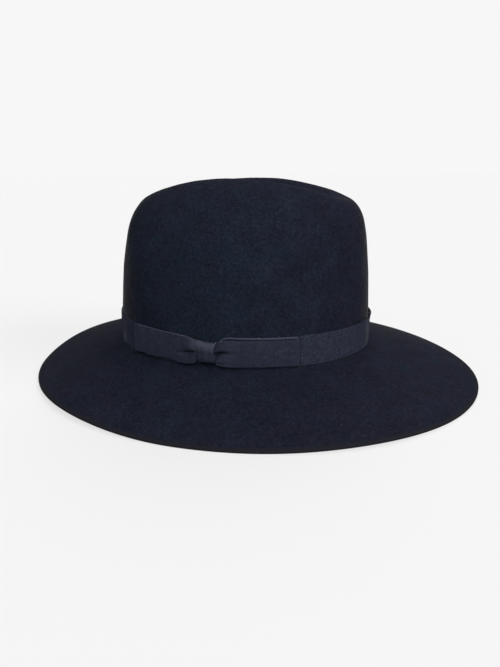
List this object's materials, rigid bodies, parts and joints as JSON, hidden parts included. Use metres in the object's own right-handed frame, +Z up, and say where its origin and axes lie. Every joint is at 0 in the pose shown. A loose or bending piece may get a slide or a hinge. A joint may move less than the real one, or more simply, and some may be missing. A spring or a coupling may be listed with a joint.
{
  "type": "brimmed felt hat",
  "caption": "Soft-brimmed felt hat with a lengthwise crown crease, a ribbon band and a flat side bow.",
  "frame": {"origin": "middle of the hat's length and width, on the surface the brim rests on", "axes": "+X to the wearer's front, +Y to the wearer's left, +Z up"},
  "size_m": [0.3564, 0.299, 0.1478],
  "materials": {
    "felt": "dark blue-black wool felt, matt with a faint nap",
    "band_ribbon": "dark grosgrain ribbon, low sheen",
    "bow_ribbon": "dark grosgrain ribbon, low sheen",
    "knot_ribbon": "dark grosgrain ribbon, low sheen"
  },
  "bodies": {
    "root": {"felt_body": "felt", "hat_band": "band_ribbon", "bow_loop_front": "bow_ribbon", "bow_loop_back": "bow_ribbon", "bow_knot": "knot_ribbon"}
  },
  "joints": []
}
